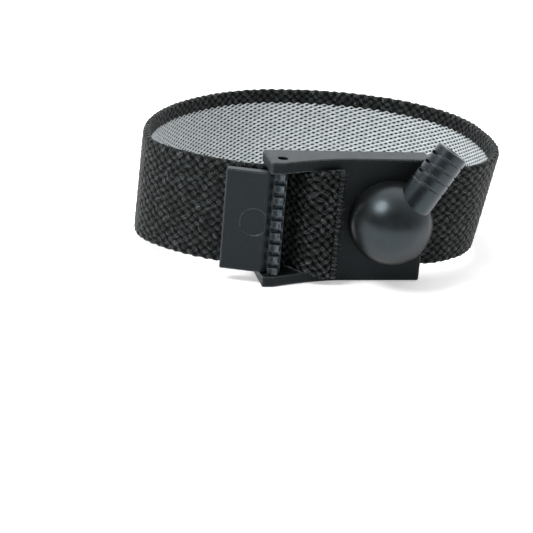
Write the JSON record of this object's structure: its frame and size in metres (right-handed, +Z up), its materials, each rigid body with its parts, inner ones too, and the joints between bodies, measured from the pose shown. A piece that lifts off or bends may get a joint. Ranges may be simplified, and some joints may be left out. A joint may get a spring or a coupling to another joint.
{
  "type": "antistatic wrist strap",
  "caption": "Elastic knit wrist band with a cam-lock buckle, toothed lever, steel contact plate and a domed snap connector with an angled strain relief.",
  "frame": {"origin": "middle of the whole footprint, on the surface the strap stands on", "axes": "+X along the buckle from the lever end to the connector end; the buckle and dome face -Y; +Z up across the band"},
  "size_m": [0.074, 0.075, 0.0291],
  "materials": {
    "moulded_plastic": "satin moulded",
    "lever_plastic": "fine matt moulded",
    "cap_plastic": "semi-gloss moulded",
    "relief_rubber": "satin",
    "elastic_knit": "knitted",
    "stainless_steel": "brushed",
    "spring_steel": "drawn",
    "plated_brass": "nickel plated",
    "resistor_lacquer": "lacquered",
    "tinned_copper": "tinned"
  },
  "bodies": {
    "buckle": {"buckle_frame": "moulded_plastic", "hinge_pin": "spring_steel", "band_loop": "elastic_knit", "band_tail": "elastic_knit", "contact_plate": "stainless_steel", "rivet_post": "plated_brass", "snap_stud": "plated_brass"},
    "lever": {"clamp_lever": "lever_plastic"},
    "grip": {"snap_ring": "spring_steel"},
    "connector": {"dome_cap": "cap_plastic", "dome_base": "cap_plastic", "socket_cup": "plated_brass", "solder_tab": "tinned_copper", "resistor_body": "resistor_lacquer", "resistor_lead_in": "tinned_copper", "resistor_lead_out": "tinned_copper", "cord_ferrule": "plated_brass", "strain_relief": "relief_rubber"}
  },
  "joints": [
    {"name": "lever_hinge", "type": "hinge", "parent": "buckle", "child": "lever", "pos_m": [-0.01355, -0.02783, 0.01225], "axis": [0, 0, 1], "range_deg": [0, 198], "deforming": ["band_tail"]},
    {"name": "connector_pull", "type": "slide", "parent": "buckle", "child": "grip", "axis": [0, -1, 0], "range_m": [0, 0.008]},
    {"name": "connector_swivel", "type": "hinge", "parent": "grip", "child": "connector", "pos_m": [0.00805, -0.03043, 0.01255], "axis": [0, -1, 0], "continuous": true}
  ]
}
